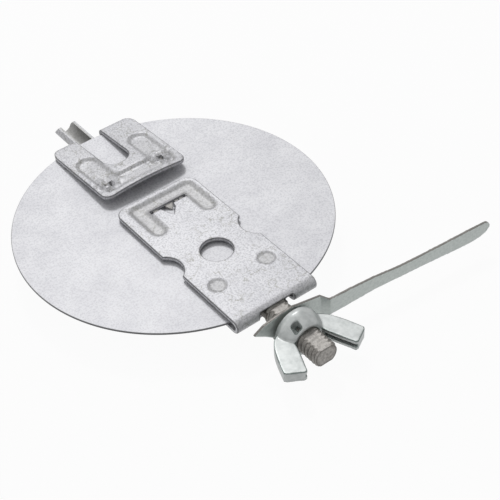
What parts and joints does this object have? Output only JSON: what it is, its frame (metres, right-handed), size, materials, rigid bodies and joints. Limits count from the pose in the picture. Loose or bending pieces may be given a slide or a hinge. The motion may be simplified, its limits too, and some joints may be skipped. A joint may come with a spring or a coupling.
{
  "type": "volume control damper",
  "caption": "Round blade damper for a small round duct: spring-steel clamps grip the blade, one ends in a pivot pin, the other holds a flatted stud with a locking lever and wing nut.",
  "frame": {"origin": "point on the pivot axis under the middle of the blade", "axes": "+X along the pivot axis towards the handle, +Y along the lever arm, +Z square to the blade on the side of the clamps' embossed leaves"},
  "size_m": [0.137, 0.1175, 0.014],
  "materials": {
    "galvanised_blade": "galvanised sheet with soft spangle",
    "zinc_clamp": "galvanised spring sheet, slightly mottled",
    "dull_stud": "plain rolled thread, dull grey-brown",
    "zinc_lever": "greenish-grey zinc plate",
    "bright_zinc_nut": "bright zinc plate"
  },
  "bodies": {
    "blade_assembly": {"blade": "galvanised_blade", "pivot_clamp": "zinc_clamp", "handle_clamp": "zinc_clamp", "stud": "dull_stud"},
    "lever_body": {"lever": "zinc_lever"},
    "nut_body": {"wing_nut": "bright_zinc_nut"}
  },
  "joints": [
    {"name": "lever_slide", "type": "slide", "parent": "blade_assembly", "child": "lever_body", "axis": [1, 0, 0], "range_m": [-0.0036, 0.0036]},
    {"name": "wing_nut_spin", "type": "hinge", "parent": "lever_body", "child": "nut_body", "pos_m": [0.06, 0, 0], "axis": [1, 0, 0], "range_deg": [-900, 900]}
  ],
  "couplings": [
    {"joint": "lever_slide", "follows": "wing_nut_spin", "m_per_rad": 0.00022458}
  ]
}
